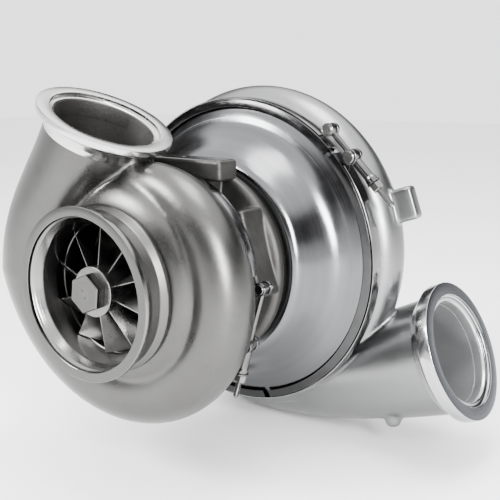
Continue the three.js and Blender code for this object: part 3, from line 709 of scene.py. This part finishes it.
def stand_at(obj, origin, direction):
    """Moves an object's mesh from its own Y axis to a point, along a direction."""
    turn = Vector(Y).rotation_difference(Vector(direction))
    obj.data.transform(Matrix.Translation(Vector(origin) * MM) @ turn.to_matrix().to_4x4())


# ---------------------------------------------------------------- wheels

BLADE_ROOT = 1.2  # how far the blades reach into the hub
TURBINE_BLADES = 10
IMPELLER_PAIRS = 7  # of one full and one splitter blade

def blade(hub, tip, wrap, thickness, start, along, across, turn):
    rings = []
    for i in range(along + 1):
        m = start + (1 - start) * i / along
        low = bezier(hub, m)
        high = bezier(tip, m)
        one = []
        other = []
        for j in range(across + 1):
            s = j / across
            r, y = low + (high - low) * s
            edge = min(1.0, 0.35 + 8 * min(i / along, 1 - i / along))
            half = thickness * (1 - 0.5 * s) * edge / (2 * r)
            one.append(polar(r, y, turn + wrap(m) - half))
            other.insert(0, polar(r, y, turn + wrap(m) + half))
        rings.append(one + other)
    return skin(rings)


def turbine_wheel():
    hub = turned(
        softened([(0.0, -112), (20.5, -112), (20.5, -108.6)], 0.8, 3, False)
        + sample(TURBINE_HUB, 40)[::-1]
        + [(57, -51.8), (30, -50.5), (14, -48), (13, -43), (0.0, -43)],
        144,
    )

    def wrap(m):
        return -rad(48) * (m**1.7 - 1)

    low = [(r - BLADE_ROOT, y + (BLADE_ROOT if i < 3 else 0)) for i, (r, y) in enumerate(TURBINE_HUB)]
    blades = []
    for i in range(TURBINE_BLADES):
        turn = rad(18) + TAU * i / TURBINE_BLADES
        blades.append(blade(low, TURBINE_TIP, wrap, 2.8, 0, 36, 8, turn))
    wheel = solid("turbine_wheel_blades", [hub, *blades], 38)
    piece(wheel, ROTOR, WHEEL_ALLOY, ["turbine_wheel"])

    nose = solid("turbine_wheel_nose", [placed(hexagon(16.2, 10, 0.9, rad(-7)), (0, NOSE_FACE_Y, 0), Y)])
    for angle in (rad(110), rad(-70)):
        pit_profile = [(0.0, -2), (1.1, -2), (0.9, 0.3), (0.0, 1.2)]
        pit = solid("pit", [placed(turned(pit_profile, 24), polar(PIT_REACH, NOSE_FACE_Y, angle), Y)])
        combine(nose, pit, "DIFFERENCE")
    clean(nose, 25)
    paint(nose, DUCT_INSIDE,
          lambda centre, normal: centre.y > NOSE_FACE_Y + 0.03 and math.hypot(centre.x, centre.z) < 5)
    piece(nose, ROTOR, NOSE_ALLOY)


WHEEL_BACK_Y = 98.5
IMPELLER_NOSE_Y = WHEEL_BACK_Y + 54.5
IMPELLER_HUB = [
    (16.5, WHEEL_BACK_Y + 52.5),
    (18, WHEEL_BACK_Y + 22.5),
    (34, WHEEL_BACK_Y + 4.5),
    (72, WHEEL_BACK_Y + 1.9),
]
IMPELLER_TIP = [
    (54, WHEEL_BACK_Y + 50.5),
    (54, WHEEL_BACK_Y + 27.5),
    (58, WHEEL_BACK_Y + 12.5),
    (72, WHEEL_BACK_Y + 8.9),
]


def compressor_wheel():
    hub = turned(
        [(6.3, IMPELLER_NOSE_Y), (15.7, IMPELLER_NOSE_Y), (16.5, IMPELLER_NOSE_Y - 0.8)]
        + sample(IMPELLER_HUB, 40)
        + [
            (72, WHEEL_BACK_Y),
            (32, WHEEL_BACK_Y),
            (16, WHEEL_BACK_Y - 4.5),
            (6.3, WHEEL_BACK_Y - 4.5),
        ],
        144,
    )

    def wrap(m):
        return -rad(62) * (m - 0.12 * math.sin(m * math.pi))

    low = [(r - BLADE_ROOT if i < 3 else r, y - BLADE_ROOT) for i, (r, y) in enumerate(IMPELLER_HUB)]
    blades = []
    for i in range(IMPELLER_PAIRS):
        turn = TAU * i / IMPELLER_PAIRS
        blades.append(blade(low, IMPELLER_TIP, wrap, 2, 0.03, 40, 8, turn))
        blades.append(blade(low, IMPELLER_TIP, wrap, 2, 0.33, 30, 8, turn + math.pi / IMPELLER_PAIRS))
    wheel = solid("compressor_wheel_blades", [hub, *blades], 38)
    piece(wheel, ROTOR, WHEEL_ALUMINIUM, ["compressor_wheel"])

    seat = IMPELLER_NOSE_Y + 0.3
    nut = solid("impeller_nut", [
        turned(softened([(6.3, seat), (13, seat), (13, seat + 2.7), (6.3, seat + 2.7)], 0.4), 96),
        placed(hexagon(10.5, 11.5, 0.8), (0, seat + 2.2, 0), Y),
    ])
    combine(nut, solid("bore", [rod((0, seat - 5, 0), (0, seat + 25, 0), 6.3, 48, 0)]), "DIFFERENCE")
    clean(nut, 30)
    piece(nut, ROTOR, FASTENER_STEEL, ["compressor_wheel_nut"])


def threaded(radius, start, end, pitch=1.25, depth=0.55):
    """The [radius, y] profile of a threaded stretch, from one station to another."""
    profile = []
    count = int((end - start) / pitch)
    for i in range(count):
        y = start + i * pitch
        profile += [(radius - depth, y), (radius, y + pitch * 0.4), (radius, y + pitch * 0.6)]
    profile.append((radius - depth, start + count * pitch))
    return profile


def rotor_shaft():
    tip = IMPELLER_NOSE_Y + 16
    profile = [
        (0.0, -42.7),
        (13, -42.7),
        (13, -33),
        (11.4, -33),
        (11.4, -30.5),
        (13, -30.5),
        (13, -26.5),
        (7.5, -26.5),
        (7.5, 28),
        (6, 28),
        (6, IMPELLER_NOSE_Y - 5),
        *threaded(6, IMPELLER_NOSE_Y - 4, tip - 1.5),
        (4.6, tip),
        (0.0, tip),
    ]
    shaft = solid("shaft_with_thread", [turned(profile, 72)], 30)
    piece(shaft, ROTOR, GROUND_STEEL, ["rotor_shaft"])


# ---------------------------------------------------------------- centre housing and backplate

WATER_ANGLES = (rad(180), rad(-55))
FLAT_SIDE_ANGLE = rad(15.5)


def centre_housing():
    core = turned(
        softened(
            [
                (0.0, -42),
                (40, -42),
                (44, -36),
                (73.2, -36),
                (73.2, -21.7),
                (84, -21.7),
                (84, -17),
                (79, -13),
                (72, -9),
                (62, -3),
                (60, 6),
                (66, 13),
                (86, 17),
                (90, 20),
                (90, 27),
                (85, 29),
                (85, 32),
                (0.0, 32),
            ],
            2,
            3,
        ),
        160,
    )
    chunks = [
        core,
        block((52, 28, 50), (4, 4, 58), (X, Y, Z), 4),
        block((76, 26, 18), (10, 3, 89), (X, Y, Z), 3),
        block((60, 30, 50), (0, 5, -70), (X, Y, Z), 4),
    ]
    for angle in WATER_ANGLES:
        chunks.append(rod(polar(30, 3, angle), polar(84, 3, angle), 13, 48, 1))
    outward = polar(1, 0, FLAT_SIDE_ANGLE)
    around = polar(1, 0, FLAT_SIDE_ANGLE + math.pi / 2)
    chunks.append(block((34, 29, 75), polar(66, 5.5, FLAT_SIDE_ANGLE), (outward, Y, around), 3))
    body = solid("centre_housing_body", chunks)
    blended(body, 1.0, 4)
    bore = solid("bore", [turned([(0.0, 40), (20.5, 40), (20.5, 24.6), (19.3, 24.6), (19.3, -24.3),
                                  (16, -24.3), (13.4, -28), (13.4, -60), (0.0, -60)], 96)])
    combine(body, bore, "DIFFERENCE")
    combine(body, solid("oil_in", [rod((0, 3, 15), (0, 3, 110), 5, 48, 0)]), "DIFFERENCE")
    combine(body, solid("oil_out", [rod((0, 3, -12), (0, 3, -110), 12, 64, 0)]), "DIFFERENCE")
    for angle in WATER_ANGLES:
        way = solid("way", [rod(polar(30, 3, angle), polar(100, 3, angle), 7, 48, 0)])
        combine(body, way, "DIFFERENCE")
    clean(body, 40)
    piece(body, HOUSING, CENTRE_CAST, ["centre_housing"])

    def flat_top(centre, normal):
        return (centre.z > 97 and normal.z > 0.9) or (centre.z < -94 and normal.z < -0.9)

    paint(body, FASTENER_STEEL, flat_top)


def backplate():
    dish = sample([(93, 33), (104, 36), (108, 66), (131, 73.5)], 60)
    profile = [
        (13.6, 60),
        (13.6, WHEEL_BACK_Y - 5.4),
        (17, WHEEL_BACK_Y - 5.4),
        (33.5, WHEEL_BACK_Y - 0.9),
        (74, WHEEL_BACK_Y - 0.9),
        (116, WHEEL_BACK_Y - 1.5),
        (125, 92),
        (128, 87),
        (128, 84.2),
        (142.3, 84.2),
        (142.3, 80),
        (138.4, 77.8),
        (135, 76.2),
        *dish[::-1],
        (34, 32.6),
        (30, 45),
        (24, 58),
    ]
    plate = solid("backplate_turned", [turned(profile, 240)], 30)
    piece(plate, HOUSING, POLISHED_PLATE, ["backplate"])


# ---------------------------------------------------------------- compressor cover

SCROLL_FRONT_Y = 98
SCROLL_START = rad(-32)
SCROLL_SWEEP = rad(302)
INLET_FACE_Y = 194
OUTLET_RISE = rad(23.7)
OUTLET_CENTRE = np.array([209.5, 141.0, -76.0])
OUTLET_NORMAL = np.array([math.cos(OUTLET_RISE), 0, math.sin(OUTLET_RISE)])
OUTLET_LIP_R = 63.8
OUTLET_BORE_R = 46.2
SCROLL_END_R = 43
SCROLL_OUTER_R = 179
BLADE_GAP = 0.7  # between the compressor blades and the cover's wall


def cover_scroll(wall, start, steps, sides):
    rings = []
    for i in range(steps + 1):
        turn = start + (1 - start) * i / steps
        angle = SCROLL_START + turn * SCROLL_SWEEP
        section = SCROLL_END_R - 23 * (1 - turn)
        outer = SCROLL_OUTER_R - 24 * (1 - turn**2)
        centre = polar(outer - section, SCROLL_FRONT_Y + section, angle)
        rings.append(ring_of(centre, polar(1, 0, angle), Y, section - wall, sides))
    return skin(rings)


def outlet_path(lift):
    angle = SCROLL_START + SCROLL_SWEEP
    start = polar(SCROLL_OUTER_R - SCROLL_END_R, SCROLL_FRONT_Y + SCROLL_END_R, angle)
    return [
        start + np.array([-4, 0, 0]),
        start + np.array([70, 0, 3]),
        OUTLET_CENTRE - OUTLET_NORMAL * 70,
        OUTLET_CENTRE + OUTLET_NORMAL * lift,
    ]


def compressor_cover():
    front = SCROLL_FRONT_Y
    shell = turned(
        softened(
            [
                (0.0, 84.7),
                (142.2, 84.7),
                (142.2, 90),
                (138.5, 92.3),
                (138.5, front + 2),
                (130, front + 18),
                (104, front + 26),
                (86, front + 42),
                (80, front + 54),
                (79, INLET_FACE_Y - 8),
                (82.3, INLET_FACE_Y - 6),
                (82.3, INLET_FACE_Y - 0.2),
                (0.0, INLET_FACE_Y - 0.2),
            ],
            1.5,
            3,
        ),
        200,
    )
    angle = rad(19.5)
    outward = polar(1, 0, angle)
    around = polar(1, 0, angle + math.pi / 2)
    lug = block((31.6, 13.6, 30.6), polar(159, 125, angle), (outward, Y, around), 2.6, 4)
    boss_top = np.array([147.0, 121.0, -118.0])
    boss_tip = np.array([154.0, 120.0, -157.0])
    down = boss_tip - boss_top
    boss = placed(turned(softened([(0.0, 0), (14, 0), (7.5, 36), (5, 39.6), (0.0, 39.6)], 1.5), 72),
                  boss_top, down)
    across = -np.cross(down, Y) / np.linalg.norm(np.cross(down, Y))
    rib = block((24, 6, 26), (158, 123, -133), (across, Y, np.cross(across, Y)), 1.5)
    land = arc([(130, front - 1.2), (157.7, front - 1.2), (157.7, front + 7.8), (130, front + 7.8)],
               rad(-95), rad(-39), 60)
    body = solid("compressor_cover_body", [
        shell,
        cover_scroll(0, 0, 150, 56),
        tube(outlet_path(-14), lambda t: SCROLL_END_R + 12 * t, 60, 72),
        lug,
        boss,
        rib,
        land,
    ])
    blended(body, 1.5, 6)
    ring = [(136, 80), (152, 80), (152, front - 1.5), (136, front - 1.5)]
    keep = [(130, 84.6), (142.4, 84.6), (142.4, 90), (138.5, 92.3), (138.5, front), (130, front)]
    room = solid("room", [turned(ring, 160)])
    combine(room, solid("keep", [turned(keep, 160)]), "DIFFERENCE")
    combine(body, room, "DIFFERENCE")
    pipe = tube(outlet_path(6), lambda t: 38 + 8.4 * t, 50, 64)
    way = cover_scroll(5, 0.02, 110, 40)
    air = solid("air", [pipe])
    combine(air, solid("scroll_way", [way]), "UNION")
    combine(body, air, "DIFFERENCE")
    wall = [(r + BLADE_GAP, y + BLADE_GAP) for r, y in sample(IMPELLER_TIP, 30)][::-1]
    throat = [
        (0.0, 70),
        (131.4, 70),
        (131.4, 93),
        (126, front + 1),
        (124, front + 8.6),
        *wall,
        (56, INLET_FACE_Y - 34),
        (60, INLET_FACE_Y - 26),
        (66, INLET_FACE_Y - 13),
        (72, INLET_FACE_Y - 3),
        (74, INLET_FACE_Y + 2),
        (0.0, INLET_FACE_Y + 2),
    ]
    combine(body, solid("throat", [turned(throat, 200)]), "DIFFERENCE")
    clean(body, 40)
    piece(body, HOUSING, COVER_CAST, ["compressor_cover"])
    paint(body, COVER_INSIDE, near([pipe, way]))

    def turned_wall(centre, normal):
        radius = math.hypot(centre.x, centre.z)
        return centre.y > INLET_FACE_Y - 90 and radius < 84 and (
            normal.x * centre.x + normal.z * centre.z < 0 or normal.y > 0.95
        )

    paint(body, TURNED_ALUMINIUM, turned_wall)

    lip = softened(
        [
            (52, 0),
            (OUTLET_LIP_R, 0),
            (OUTLET_LIP_R, -11),
            (58, -15),
            (55.4, -20),
            (53, -24),
            (OUTLET_BORE_R, -24),
            (OUTLET_BORE_R, -6),
            (47.5, -3.8),
            (50.2, -3.4),
            (52, -2.4),
        ],
        0.7,
    )
    flange = solid("compressor_outlet_flange", [turned(lip, 200)], 28)
    stand = (OUTLET_CENTRE, OUTLET_NORMAL)
    # The front face is painted dark blue-grey on otherwise light turned aluminium: a painted reflection.
    face = machined("turned_outlet_face_painted_reflection", (0.055, 0.059, 0.068), 0.3, pitch=0.8, anisotropy=0.6, stand=stand)
    paint(flange, face, lambda centre, normal: normal.y > 0.9 and math.hypot(centre.x, centre.z) > 50)
    paint(flange, COVER_INSIDE, lambda centre, normal: math.hypot(centre.x, centre.z) < OUTLET_BORE_R + 0.4)
    stand_at(flange, *stand)
    finish = machined("turned_outlet_flange", (0.45, 0.452, 0.46), 0.14, stand=stand)
    piece(flange, HOUSING, finish)


# ---------------------------------------------------------------- clamps

STRAP_LIFT = 0.6
STRAP_THICKNESS = 1.2


def retainer_section(outer, grip, front, rear):
    thick = 1.6
    slope = 2
    return softened(
        [
            (outer, front),
            (outer, rear),
            (grip, rear + slope),
            (grip, rear + slope - thick),
            (outer - thick, rear - thick * 0.6),
            (outer - thick, front + thick * 0.6),
            (grip, front - slope + thick),
            (grip, front - slope),
        ],
        0.7,
    )


def strap_section(inner, front, rear):
    outer = inner + STRAP_THICKNESS
    front, rear = front + 0.5, rear - 0.5
    return softened([(inner, front), (outer, front), (outer, rear), (inner, rear)], 0.35)


def clamp_hardware(prefix, radius, angle, y, width, gap, bolt, lift):
    """The T-bolt, trunnion, sleeve, washer and nut that draw a strap's ends together."""
    around = polar(1, 0, angle - math.pi / 2)
    seat = polar(radius + lift, y, angle)
    half = width / 2
    head_radius = bolt * 1.75
    trunnion_radius = bolt * 2.1
    sleeve_length = bolt * 8.5
    play = 0.3

    def at(distance):
        return seat + around * distance

    head = rod(at(-gap) - Y * (half - 1), at(-gap) + Y * (half - 1), head_radius, 48, 0.6)
    start = gap + trunnion_radius + play + sleeve_length
    length = 2 * gap + 21 * bolt
    thread = threaded(bolt, gap + start - 7, length - 1.2, 1, 0.35)
    shank = [(0.0, 0), (bolt, 0), (bolt, gap + start - 8), *thread, (bolt - 0.9, length), (0.0, length)]
    t_bolt = solid(prefix + "_t_bolt_turned", [head, placed(turned(shank, 48), at(-gap), around)], 30)
    piece(t_bolt, HOUSING, FASTENER_STEEL, [prefix + "_t_bolt"])

    loops = []
    for place, inner in ((-gap, head_radius + 0.15), (gap, trunnion_radius + 0.15)):
        for low, high in ((-half + 1.2, -half * 0.38), (half * 0.38, half - 1.2)):
            ring = [(inner, low), (inner + 1.1, low), (inner + 1.1, high), (inner, high)]
            loops.append(placed(turned(softened(ring, 0.3), 56), at(place), Y))
    piece(solid(prefix + "_strap_loops", loops, 30), HOUSING, CLAMP_STEEL)

    trunnion = solid(prefix + "_trunnion_turned", [
        rod(at(gap) - Y * (half + 1.5), at(gap) + Y * (half + 1.5), trunnion_radius, 56, 0.8)
    ])
    combine(trunnion, solid("hole", [rod(at(gap - 20), at(gap + 20), bolt + 0.25, 40, 0)]), "DIFFERENCE")
    clean(trunnion, 30)
    piece(trunnion, HOUSING, FASTENER_STEEL, [prefix + "_trunnion"])

    sleeve_start = at(gap + trunnion_radius + play)
    sleeve_profile = softened(
        [(bolt + 0.2, 0), (bolt * 1.7, 0), (bolt * 1.7, sleeve_length - 5), (bolt * 2, sleeve_length - 3),
         (bolt * 2, sleeve_length), (bolt + 0.2, sleeve_length)], 0.4)
    sleeve = solid(prefix + "_sleeve_turned", [placed(turned(sleeve_profile, 48), sleeve_start, around)], 30)
    piece(sleeve, HOUSING, FASTENER_STEEL, [prefix + "_sleeve"])

    washer_start = sleeve_start + around * (sleeve_length + play)
    washer_profile = softened([(bolt + 0.2, 0), (bolt * 2.3, 0), (bolt * 2.3, 1.5), (bolt + 0.2, 1.5)], 0.3)
    washer = solid(prefix + "_washer_turned", [placed(turned(washer_profile, 48), washer_start, around)], 30)
    piece(washer, HOUSING, FASTENER_STEEL, [prefix + "_washer"])

    nut_start = washer_start + around * (1.5 + play)
    nut = solid(prefix + "_nut_hexagonal", [placed(hexagon(bolt * 2, 7, 0.6), nut_start, around)])
    combine(nut, solid("thread", [rod(at(0), at(gap + 70), bolt + 0.15, 40, 0)]), "DIFFERENCE")
    clean(nut, 25)
    piece(nut, HOUSING, TURNED_STEEL, [prefix + "_nut"])


def big_clamp():
    outer, front, rear = 146.5, 77.5, 92.5
    section = retainer_section(outer, 139, front, rear)
    gap_angle = rad(45)
    for i in range(3):
        start = gap_angle + i * TAU / 3 + rad(1.2)
        name = "compressor_clamp_retainer_%d" % (i + 1)
        part = solid(name + "_pressed", [arc(section, start, start + TAU / 3 - rad(2.4), 70)], 28)
        piece(part, HOUSING, RETAINER_STEEL, [name])
    profile = strap_section(outer + STRAP_LIFT, front, rear)
    strap = arc(profile, gap_angle + rad(7), gap_angle + rad(353), 200)
    part = solid("compressor_clamp_strap_rolled", [strap], 28)
    piece(part, HOUSING, CLAMP_STEEL, ["compressor_clamp_strap"])
    middle = (front + rear) / 2
    seat_radius = outer + STRAP_LIFT + STRAP_THICKNESS
    clamp_hardware("compressor_clamp", seat_radius, gap_angle, middle, rear - front, 16, 2.7, 7)


def small_clamp():
    outer, front, rear = 86.6, -26.4, -15.6
    section = retainer_section(outer, 82.6, front, rear)
    gap_angle = rad(-16)
    for i in range(2):
        start = gap_angle + i * math.pi + rad(2)
        name = "turbine_clamp_retainer_%d" % (i + 1)
        part = solid(name + "_pressed", [arc(section, start, start + math.pi - rad(4), 80)], 28)
        piece(part, HOUSING, FASTENER_STEEL, [name])
    strap_rear = rear + 4.6
    profile = strap_section(outer + STRAP_LIFT, front, strap_rear)
    strap = arc(profile, gap_angle + rad(20), gap_angle + rad(342), 150)
    part = solid("turbine_clamp_strap_rolled", [strap], 28)
    piece(part, HOUSING, CLAMP_STEEL, ["turbine_clamp_strap"])
    middle = (front + strap_rear) / 2
    seat_radius = outer + STRAP_LIFT + STRAP_THICKNESS
    clamp_hardware("turbine_clamp", seat_radius, gap_angle, middle, strap_rear - front, 26, 2.5, 7.5)


# ---------------------------------------------------------------- pieces that keep their CAD shape


def dress_frame_nodes():
    looks = {
        "turbine_heat_shield": SHEET_STEEL,
        "turbine_seal_ring": GROUND_STEEL,
        "compressor_seal_ring": GROUND_STEEL,
        "bearing_cartridge": GROUND_STEEL,
        "turbine_side_inner_race": GROUND_STEEL,
        "compressor_side_inner_race": GROUND_STEEL,
        "turbine_side_ball_set": GROUND_STEEL,
        "compressor_side_ball_set": GROUND_STEEL,
        "inner_race_spacer": GROUND_STEEL,
        "bearing_retainer_ring": SHEET_STEEL,
        "oil_flinger": GROUND_STEEL,
        "cover_seal": RUBBER,
    }
    for name, material in looks.items():
        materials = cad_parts[name].data.materials
        materials.clear()
        materials.append(material)


# ---------------------------------------------------------------- studio


def softbox(name, place, size, power):
    """A white rectangular light that faces the origin."""
    data = bpy.data.lights.new(name, "AREA")
    data.shape = "RECTANGLE"
    data.size, data.size_y = size
    data.energy = power
    light = bpy.data.objects.new(name, data)
    light.location = place
    light.rotation_euler = (-Vector(place)).to_track_quat("-Z", "Y").to_euler()
    bpy.context.scene.collection.objects.link(light)


def studio():
    side = 6.0
    clearance = 0.0005
    ground = cad_bounds[0][2] - clearance
    mesh = bpy.data.meshes.new("floor")
    corners = [(-side, -side, ground), (side, -side, ground), (side, side, ground), (-side, side, ground)]
    mesh.from_pydata(corners, [], [(0, 1, 2, 3)])
    floor = bpy.data.objects.new("floor", mesh)
    bpy.context.scene.collection.objects.link(floor)
    t = Tree("pale_floor", (0.95, 0.95, 0.95), 0.6, 0)
    t.link(t.spread(t.noise(3, 2), 0.3, 0.7, 0.55, 0.65), t.shader.inputs["Roughness"])
    floor.data.materials.append(t.material)

    world = bpy.data.worlds.new("studio")
    bpy.context.scene.world = world
    world.use_nodes = True
    tree = world.node_tree
    parts = tree.nodes.new("ShaderNodeSeparateXYZ")
    tree.links.new(tree.nodes.new("ShaderNodeTexCoord").outputs["Generated"], parts.inputs[0])
    ramp = tree.nodes.new("ShaderNodeValToRGB")
    tree.links.new(parts.outputs[2], ramp.inputs[0])
    bands = [(0.0, 0.66), (0.12, 0.66), (0.17, 0.02), (0.54, 0.02), (0.64, 1.0), (1.0, 1.0)]
    for _ in bands[2:]:
        ramp.color_ramp.elements.new(0.5)
    for element, (height, brightness) in zip(ramp.color_ramp.elements, bands):
        element.position = height
        element.color = (brightness, brightness, brightness, 1)
    background = tree.nodes["Background"]
    tree.links.new(ramp.outputs[0], background.inputs["Color"])
    background.inputs["Strength"].default_value = 3.6

    softbox("key_box", (-0.9, -1.3, 1.2), (0.6, 0.6), 75)
    softbox("side_box", (1.5, -0.9, 0.6), (0.35, 1.0), 95)
    softbox("top_box", (0.2, 0.1, 1.6), (1.0, 0.6), 30)


make_camera()
turbine_housing()
turbine_wheel()
compressor_wheel()
rotor_shaft()
centre_housing()
backplate()
compressor_cover()
big_clamp()
small_clamp()
dress_frame_nodes()
studio()
